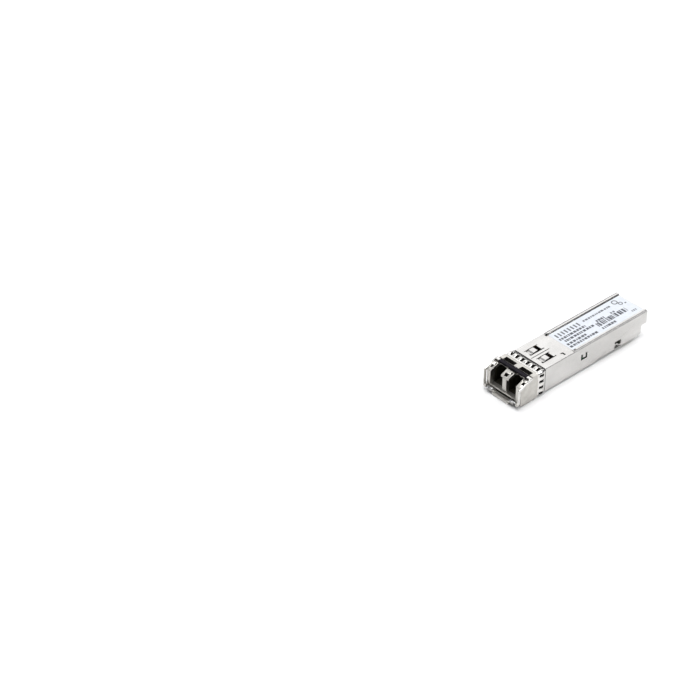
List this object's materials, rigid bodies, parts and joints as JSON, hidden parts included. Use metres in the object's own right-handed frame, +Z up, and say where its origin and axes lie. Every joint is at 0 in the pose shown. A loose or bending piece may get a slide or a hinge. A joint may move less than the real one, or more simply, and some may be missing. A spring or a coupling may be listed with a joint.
{
  "type": "optical transceiver module",
  "caption": "Pluggable fibre-optic transceiver with a duplex port nose, EMI collar, stamped cover, card edge and swinging bail latch.",
  "frame": {"origin": "centre of the module in plan, on the plane that it stands on under the nose ledges", "axes": "+Y from the fibre ports to the card edge, +X to the right seen from the ports, +Z up through the label"},
  "size_m": [0.015, 0.0582, 0.0096],
  "materials": {
    "cast_zinc": "nickel-plated die casting, satin",
    "nickel_sheet": "nickel-plated stamped sheet, semi-bright",
    "spring_steel": "bright spring steel",
    "pin_steel": "turned stainless steel",
    "gold_plate": "gold plate",
    "black_plastic": "moulded, matte",
    "grip_plastic": "moulded, semi-gloss",
    "board": "solder mask over glass laminate",
    "chip_plastic": "moulded epoxy",
    "ceramic": "fired ceramic",
    "zirconia": "polished ceramic",
    "polyimide": "copper-backed film",
    "label_film": "printed polyester film, satin",
    "pad_silicone": "soft thermal gap pad"
  },
  "bodies": {
    "module_body": {"nose_housing": "cast_zinc", "port_insert": "black_plastic", "emi_collar": "spring_steel", "lever_pivot_pin": "pin_steel", "latch_spring": "spring_steel", "base_shell": "cast_zinc", "top_cover": "nickel_sheet", "label": "label_film", "transmitter_barrel": "pin_steel", "transmitter_sleeve": "zirconia", "transmitter_can": "pin_steel", "transmitter_flex": "polyimide", "receiver_barrel": "pin_steel", "receiver_sleeve": "zirconia", "receiver_can": "pin_steel", "receiver_flex": "polyimide", "optics_clip": "spring_steel", "circuit_board": "board", "edge_contacts_top": "gold_plate", "edge_contacts_bottom": "gold_plate", "laser_driver_chip": "chip_plastic", "receiver_amplifier_chip": "chip_plastic", "controller_chip": "chip_plastic", "memory_chip": "chip_plastic", "inductor_1": "chip_plastic", "inductor_2": "chip_plastic", "capacitor_1": "ceramic", "capacitor_2": "ceramic", "capacitor_3": "ceramic", "capacitor_4": "ceramic", "thermal_pad": "pad_silicone"},
    "bail_handle": {"bail": "spring_steel", "bail_grip": "grip_plastic", "bail_cam_pin_left": "pin_steel", "bail_cam_pin_right": "pin_steel"},
    "latch": {"latch_lever": "cast_zinc"}
  },
  "joints": [
    {"name": "bail_pivot", "type": "hinge", "parent": "module_body", "child": "bail_handle", "pos_m": [0, -0.02855, 0.00165], "axis": [1, 0, 0], "range_deg": [0, 90]},
    {"name": "latch_pivot", "type": "hinge", "parent": "module_body", "child": "latch", "pos_m": [0, -0.02385, 0.0012], "axis": [1, 0, 0], "range_deg": [0, 4.05], "deforming": ["latch_spring"]}
  ],
  "couplings": [
    {"joint": "latch_pivot", "follows": "bail_pivot", "ratio": 0.045}
  ]
}
